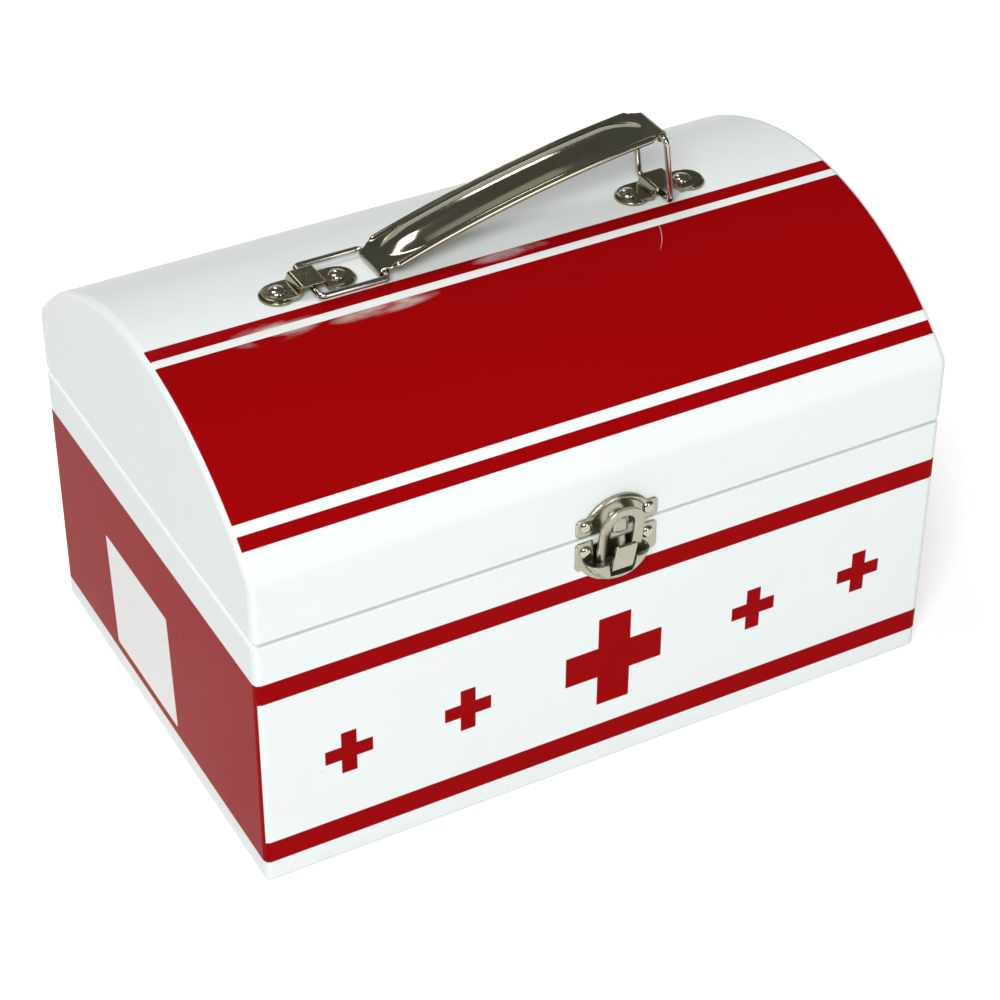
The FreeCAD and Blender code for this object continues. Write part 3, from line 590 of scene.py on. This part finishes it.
def plated(name, colour, roughness, depth, corner=None):
    """Metal with plating: the colour varies with the bloom, the gloss with bloom and marks, corners soften."""
    material, tree, shader, where = new_finish(name)
    plate = use_group(tree, "plating", Vector=where, Depth=depth)
    normal = None
    if corner:
        edge = use_group(tree, "rubbed edge", Vector=where, Reach=corner, Break=500.0, Keep=0.45)
        bright = tuple(min(1.0, corner_bright * c) for c in colour[:3]) + (1,)
        colour = blend_colour(tree, calc(tree, "MULTIPLY", edge["Mask"], corner_share), colour, bright)
        normal = edge["Normal"]
    feed(tree, shader.inputs["Base Color"], toned(tree, colour, plate["Tone"]))
    feed(tree, shader.inputs["Roughness"], calc(tree, "ADD", plate["Gloss"], roughness, clamp=True))
    bumped(tree, shader, plate["Height"], normal)
    shader.inputs["Metallic"].default_value = 1.0
    return material


nickel = (0.40, 0.385, 0.305, 1)
bright_grip = plated("bright_grip", (0.40, 0.385, 0.285, 1), 0.09, fine_marks)
ring_metal = plated("ring_wire", (0.50, 0.48, 0.43, 1), 0.12, fine_marks)
nickel_head = plated("nickel_head", (0.50, 0.48, 0.40, 1), 0.10, fine_marks)
wear(plated("nickel_sheet", nickel, 0.22, tool_marks, 0.5 * mm), "latch_plate", "latch_loop")
wear(plated("nickel_strap", (0.32, 0.295, 0.20, 1), 0.14, tool_marks, 0.5 * mm), "handle_brackets")
wear(plated("nickel_hood", nickel, 0.24, tool_marks, 0.9 * mm), "latch_catch")
wear(plated("pin_steel", (0.45, 0.44, 0.42, 1), 0.25, pin_marks, 0.15 * mm), "latch_pin")

# %% [markdown]
# ## The wire rings
#
# Each end of the grip hangs on a ring of bent wire. A tube along a path needs two directions across the
# path at every step. This path is flat, so one of them is the way out of the bend and the other never
# changes, and no twist can creep in. The left ring lies on the lid, the right one stands and leans in a
# little.

# %% Make the wire rings
wire_radius = 1.0 * mm
ring_reach, ring_half, ring_bend = 22.5 * mm, 9.65 * mm, 1.8 * mm
left_bar, right_bar = np.array([-61.8, 0, 154.18]) * mm, np.array([60.05, 0, 153.13]) * mm
ring_lean = math.radians(90 + 6.5)


def wire_ring(steps_bend, steps_round):
    """p(i, a) = path(i) + r (cos a out(i) + sin a z), the path being a rectangle with round corners."""
    turns = np.radians(90 * np.arange(4)[:, None] + np.linspace(0, 90, steps_bend))
    centre_x = np.array([ring_reach - ring_bend, ring_bend, ring_bend, ring_reach - ring_bend])[:, None]
    centre_y = (ring_half - ring_bend) * np.array([1, 1, -1, -1])[:, None]
    out = np.stack([np.cos(turns), np.sin(turns), np.zeros_like(turns)], -1).reshape(-1, 1, 3)
    flat = np.broadcast_arrays(centre_x, centre_y, 0 * turns)
    path = np.stack(flat, -1).reshape(-1, 1, 3) + ring_bend * out
    angles = np.linspace(0, 2 * np.pi, steps_round, endpoint=False)[None, :, None]
    return path + wire_radius * (np.cos(angles) * out + np.sin(angles) * np.array([0, 0, 1]))


def tipped(points, angle, to):
    """Points tipped up about the Y axis, so that x climbs at an angle, and moved to a place."""
    x, y, z = np.moveaxis(points, -1, 0)
    level, climb = np.cos(angle), np.sin(angle)
    return np.stack([x * level - z * climb, y, x * climb + z * level], -1) + to


ring_points = wire_ring(13, 28)
ring_faces = grid_faces(*ring_points.shape[:2], looped=True)
for name, angle, bar in (("left", 0.0, left_bar), ("right", ring_lean, right_bar)):
    ring = new_piece("wire_ring_" + name, tipped(ring_points, angle, bar), ring_faces, ring_metal,
                     "handle_ring_" + name, "handle_wire")
    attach(ring, "ring_" + name)

# %% [markdown]
# ## The pressed grip
#
# The grip is one sheet: bowed along its length, pressed up into a crown, rolled round at both edges and
# curled into an eye at each end. It is drawn as a section carried along the sheet's own middle line, which
# runs round the left eye, along the bow and round the right eye. The crown is a hump that runs out flat at
# its foot, as pressed sheet does, and a nose at each end closes it: there the distance from the middle
# counts the way into the nose as well.

# %% Make the grip
sheet, eye_gap = 0.8 * mm, 0.08 * mm
eye_radius = wire_radius + eye_gap + sheet / 2
eye_half, strip_half, bead_radius = 7.13 * mm, 8.55 * mm, 1.15 * mm
widens_from, bead_from, bead_full = 0.2 * mm, 2.6 * mm, 4.6 * mm
crown_half, crown_rise, nose_length, flat_end = 7.4 * mm, 2.9 * mm, 13.0 * mm, 3.2 * mm
crown_power = 1.15
bow_rise, eye_turn = 2.7 * mm, math.radians(280)
left_eye = left_bar + np.array([ring_reach, 0, 0])
right_eye = right_bar + ring_reach * np.array([math.cos(ring_lean), 0, math.sin(ring_lean)])
chord = right_eye - left_eye
half_chord = np.linalg.norm(chord) / 2
grip_tilt = math.atan2(chord[2], chord[0])
bow_radius = (half_chord ** 2 + bow_rise ** 2) / (2 * bow_rise)
bow_reach = math.asin(half_chord / bow_radius)


def eased(low, high, value):
    """Goes from 0 to 1 between two values without a corner."""
    share = np.clip((value - low) / (high - low), 0, 1)
    return share * share * (3 - 2 * share)


def middle_line(steps_bow, steps_eye):
    """Places, directions out of the sheet, and the distance along the bow from the nearer eye."""
    bow = np.linspace(-bow_reach, bow_reach, steps_bow)
    left = np.linspace(-bow_reach - eye_turn, -bow_reach, steps_eye)[:-1]
    turn = np.concatenate([left, bow, -left[::-1]])
    away = np.concatenate([0 * left, (bow_reach - np.abs(bow)) * bow_radius, 0 * left])
    out = np.stack([np.sin(turn), 0 * turn, np.cos(turn)], -1)
    bow_centre = np.array([half_chord, 0, bow_rise - bow_radius])
    centre = np.tile(bow_centre, (len(turn), 1))
    radius = np.full(len(turn), bow_radius + eye_radius)
    centre[:len(left)], centre[-len(left):] = (0, 0, 0), (2 * half_chord, 0, 0)
    radius[:len(left)], radius[-len(left):] = eye_radius, eye_radius
    return centre + radius[:, None] * out, out, away


def crown_height(away, across):
    """h (1 - u^2 - w^2)^p, with u across and w into the nose, as shares of half width and nose."""
    into_nose = np.maximum(flat_end + nose_length - away, 0) / nose_length
    return crown_rise * np.maximum(1 - (across / crown_half) ** 2 - into_nose ** 2, 0) ** crown_power


def pressed_grip(steps_bow, steps_eye, steps_across, steps_edge):
    """p(s, v) = line(s) + y(s, v) across + n(s, v) out; v runs over top, edge, underside and edge."""
    line, out, away = middle_line(steps_bow, steps_eye)
    away = away[:, None]
    rolled = eased(bead_from, bead_full, away)
    edge = sheet / 2 + (bead_radius - sheet / 2) * rolled
    half = eye_half + (strip_half - eye_half) * eased(widens_from, bead_from, away)
    half = half + bead_radius * rolled - edge
    flat = np.linspace(-1, 1, steps_across) * half
    bead = np.sqrt(np.maximum(edge ** 2 - (half - np.abs(flat)) ** 2, 0))
    crown = crown_height(away, flat)
    top = np.maximum(sheet / 2 + crown, bead)
    under = np.minimum(crown - sheet / 2, -bead)
    roll = np.linspace(np.pi / 2, -np.pi / 2, steps_edge)[1:-1]
    outer = half + edge * np.cos(roll)
    across = np.concatenate([flat, outer, flat[:, ::-1], -outer], 1)
    above = np.concatenate([top, edge * np.sin(roll), under[:, ::-1], -edge * np.sin(roll)], 1)
    points = line[:, None, :] + above[..., None] * out[:, None, :]
    points[..., 1] += across
    return points


grip_points = pressed_grip(221, 25, 61, 11)
grip_faces = closed_faces(*grip_points.shape[:2])
grip = new_piece("pressed_grip", tipped(grip_points, grip_tilt, left_eye), grip_faces, bright_grip,
                 "handle_grip", "handle_sheet")
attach(grip, "grip")

# %% [markdown]
# ## Rivets and nails
#
# A polished head is half an ellipsoid, and it has to be smooth, because it mirrors the whole room. The
# rivets are split ones: a square shank parts into two legs that are bent out flat against the lining, so
# their section is an upside-down T with rounded bends, carried across by the width of the shank. The nails
# have a plain square shank.

# %% Make the rivets and nails
rivet_radius, rivet_rise, rivet_half, rivet_pitch = 2.9 * mm, 1.5 * mm, 1.1 * mm, 20.0 * mm
leg_sheet, leg_reach, leg_bend = 0.8 * mm, 4.5 * mm, 0.5 * mm
nail_radius, nail_rise, nail_half, nail_pitch = 2.1 * mm, 1.2 * mm, 0.65 * mm, 21.6 * mm
shank_in_head = 1 / 4


def domed_head(radius, rise, steps_up=14, steps_round=40):
    """p(t, a) = (r sin t cos a, r sin t sin a, h cos t), half an ellipsoid that sits on z = 0."""
    t = np.linspace(np.radians(2), np.pi / 2, steps_up)[:, None]
    a = np.linspace(0, 2 * np.pi, steps_round, endpoint=False)[None, :]
    ring = radius * np.sin(t)
    return np.stack([ring * np.cos(a), ring * np.sin(a), rise * np.cos(t) + 0 * a], -1)


def drawn_bar(outline, low, high):
    """An outline in x and z, carried along y from low to high."""
    return np.stack([np.insert(outline, 1, y, axis=1) for y in (low, high)])


def split_shank(low, top):
    """Right half of the T: round tip of the leg, bend into the shank, top; then its mirror image."""
    tip, fold = np.radians(np.linspace(-90, 90, 9)), np.radians(np.linspace(-90, -180, 7))
    x = np.concatenate([leg_reach + leg_sheet / 2 * (np.cos(tip) - 1),
                        rivet_half + leg_bend * (1 + np.cos(fold)), [rivet_half]])
    z = np.concatenate([low + leg_sheet / 2 * (1 + np.sin(tip)),
                        low + leg_sheet + leg_bend * (1 + np.sin(fold)), [top]])
    right = np.stack([x, z], -1)
    return np.concatenate([right, right[::-1] * (-1, 1)])


rivet_low, rivet_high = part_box("handle_rivets")
seat = rivet_high[2] - rivet_rise
rivet_x = [bar_x + side * rivet_pitch / 2 for bar_x in (left_bar[0], right_bar[0]) for side in (-1, 1)]
head = domed_head(rivet_radius, rivet_rise) + (0, 0, seat)
shank = drawn_bar(split_shank(rivet_low[2], seat + rivet_rise * shank_in_head), -rivet_half, rivet_half)
rivets = [shell + (x, 0, 0) for x in rivet_x for shell in (head, shank)]
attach(new_piece("split_rivets", *gathered(rivets), nickel_head, "handle_rivets", "nickel"), "lid")

square = nail_half * np.array([(-1, -1), (1, -1), (1, 1), (-1, 1)])
for name, body in (("catch_nails", "lid"), ("plate_nails", "base")):
    low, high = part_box("latch_" + name)
    x, y, z = np.moveaxis(domed_head(nail_radius, nail_rise), -1, 0)
    middle_z = (low[2] + high[2]) / 2
    head = np.stack([x, low[1] + nail_rise - z, middle_z + y], -1)
    shank = drawn_bar(square + (0, middle_z), low[1] + nail_rise * (1 - shank_in_head), high[1])
    nails = [shell + (side * nail_pitch / 2, 0, 0) for side in (-1, 1) for shell in (head, shank)]
    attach(new_piece("domed_" + name, *gathered(nails), nickel_head, "latch_" + name, "nickel"), body)

# %% [markdown]
# ## The cloth hinge
#
# A strip of bookcloth is glued along the back, half on the base and half on the lid, and it is the hinge.
# It is made as a sheet: its section is a thin closed loop that dips a little into the seam, carried along
# the length of the case.

# %% Make the cloth hinge
cloth_low, cloth_high = (np.array(corner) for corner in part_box("hinge_strip"))
dip_share, dip_width = 0.25, 1.2 * mm
rim_share, rim_width = 0.35, 0.4 * mm


def cloth_strip(low, high, steps_along, steps_up):
    """A loop in y and z, carried along x. The outer face is y = high - dip exp(-(t / w)^2), t from the seam."""
    up = np.linspace(low[2], high[2], steps_up)
    thick, seam = high[1] - low[1], (low[2] + high[2]) / 2
    dip = dip_share * thick * np.exp(-((up - seam) / dip_width) ** 2)
    rim = np.clip(np.minimum(up - low[2], high[2] - up) / rim_width, 0, 1)
    outer = low[1] + thick * (rim_share + (1 - rim_share) * np.sqrt(rim * (2 - rim))) - dip
    points = np.empty((steps_along, 2 * steps_up, 3))
    points[..., 0] = np.linspace(low[0], high[0], steps_along)[:, None]
    points[..., 1] = np.concatenate([np.full(steps_up, low[1]), outer[::-1]])
    points[..., 2] = np.concatenate([up, up[::-1]])
    return points


cloth_points = cloth_strip(cloth_low, cloth_high, 117, 31)
cloth_faces = closed_faces(*cloth_points.shape[:2])
mesh = bpy.data.meshes.new("hinge_cloth")
mesh.from_pydata(cloth_points.reshape(-1, 3).tolist(), [], cloth_faces)
hinge_cloth = bpy.data.objects.new("hinge_cloth", mesh)
bpy.context.scene.collection.objects.link(hinge_cloth)
print("hinge cloth:", len(mesh.vertices), "points,", len(cloth_faces), "faces")

# %% [markdown]
# ## Bookcloth
#
# Bookcloth is a plain weave: warp and weft threads pass over each other in turn. Two sets of waves, one
# along and one up, give the threads, and their product decides which one lies on top. The last lines put
# the strip in the place of the hinge strip.

# %% Finish of the cloth
thread, thread_rise, slub_scale = 0.45 * mm, 0.04 * mm, 350.0
cloth_shade, cloth_light = (0.66, 0.66, 0.63, 1), (0.87, 0.87, 0.85, 1)

bookcloth, tree, shader, where = new_finish("bookcloth")
spot = place(tree, "ShaderNodeSeparateXYZ", Vector=where).outputs
waves = [calc(tree, "SINE", calc(tree, "MULTIPLY", spot[i], 2 * math.pi / thread)) for i in (0, 2)]
weave = calc(tree, "MULTIPLY_ADD", calc(tree, "MULTIPLY", *waves), 0.5, 0.5)
slub = noise(tree, where, slub_scale, 4.0)
share = calc(tree, "MULTIPLY", calc(tree, "ADD", weave, slub), 0.5)
feed(tree, shader.inputs["Base Color"], blend_colour(tree, share, cloth_shade, cloth_light))
feed(tree, shader.inputs["Roughness"], calc(tree, "MULTIPLY_ADD", slub, 0.2, 0.7))
bumped(tree, shader, calc(tree, "MULTIPLY", weave, thread_rise))
shader.inputs["Sheen Weight"].default_value = 0.2
hinge_cloth.data.materials.append(bookcloth)
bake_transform(hinge_cloth)
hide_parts("hinge_strip")

# %% [markdown]
# ## The floor
#
# The case stands on a white sweep. It is pale and keeps the shadow; to the camera, and in reflections, it
# is lifted to white.

# %% Floor
floor_reach, floor_lift = 6.0, 0.42
floor_corners = [(x * floor_reach, y * floor_reach, 0) for x, y in ((-1, -1), (1, -1), (1, 1), (-1, 1))]
floor_mesh = bpy.data.meshes.new("floor")
floor_mesh.from_pydata(floor_corners, [], [(0, 1, 2, 3)])
floor = bpy.data.objects.new("floor", floor_mesh)
bpy.context.scene.collection.objects.link(floor)
sweep, tree, shader, where = new_finish("white_sweep")
shader.inputs["Base Color"].default_value = (0.88, 0.88, 0.88, 1)
shader.inputs["Roughness"].default_value = 0.9
shader.inputs["Specular IOR Level"].default_value = 0.0
path = tree.nodes.new("ShaderNodeLightPath").outputs
seen = either(tree, [path[ray] for ray in ("Is Camera Ray", "Is Glossy Ray", "Is Transmission Ray")])
shader.inputs["Emission Color"].default_value = (1, 1, 1, 1)
feed(tree, shader.inputs["Emission Strength"], calc(tree, "MULTIPLY", seen, floor_lift))
floor.data.materials.append(sweep)
print("floor", 2 * floor_reach, "m wide")

# %% [markdown]
# ## The lights
#
# The studio is dim, which is what gives polished metal its dark lines. The key box stands on the camera's
# side and a weak one hangs above it, so that neither is mirrored in the red vault. A bent sheet mirrors
# only what lies on a cone round its bend, so the other lamps stand where the grip can see them: a low card
# in front draws the bright line along its rolled edge, a faint card overhead the paler foot of its crown,
# and a wall and a window behind draw the pale far side and the streak on the crown.

# %% Lights
lamp_aim = (0, 0, 0.08)
world_colour, world_strength = (1.0, 1.0, 0.97, 1), 0.12


def soft_box(name, place_at, width, height, power):
    """A rectangular lamp at a place, facing the case; sizes in metres, power in watts."""
    lamp = bpy.data.lights.new(name, "AREA")
    lamp.shape = "RECTANGLE"
    lamp.size, lamp.size_y, lamp.energy = width, height, power
    held = bpy.data.objects.new(name, lamp)
    bpy.context.scene.collection.objects.link(held)
    held.location = place_at
    held.rotation_mode = "QUATERNION"
    held.rotation_quaternion = (Vector(lamp_aim) - Vector(place_at)).to_track_quat("-Z", "Y")


soft_box("key_box", (-1.40, -1.90, 2.05), 1.4, 1.05, 70)
soft_box("top_fill", (-0.80, 0.50, 2.10), 0.8, 1.0, 14)
soft_box("over_card", (0.13, -0.50, 2.10), 0.5, 0.4, 0.25)
soft_box("front_card", (0.42, -1.75, 0.62), 0.45, 1.0, 4.5)
soft_box("back_wall", (0.70, 2.20, 0.66), 2.4, 1.0, 4.2)
soft_box("back_window", (0.34, 1.48, 1.32), 0.24, 0.45, 1.9)
world = bpy.data.worlds.new("studio")
bpy.context.scene.world = world
world.use_nodes = True
background = world.node_tree.nodes["Background"].inputs
background["Color"].default_value = world_colour
background["Strength"].default_value = world_strength
bpy.context.scene.view_settings.view_transform = "Standard"
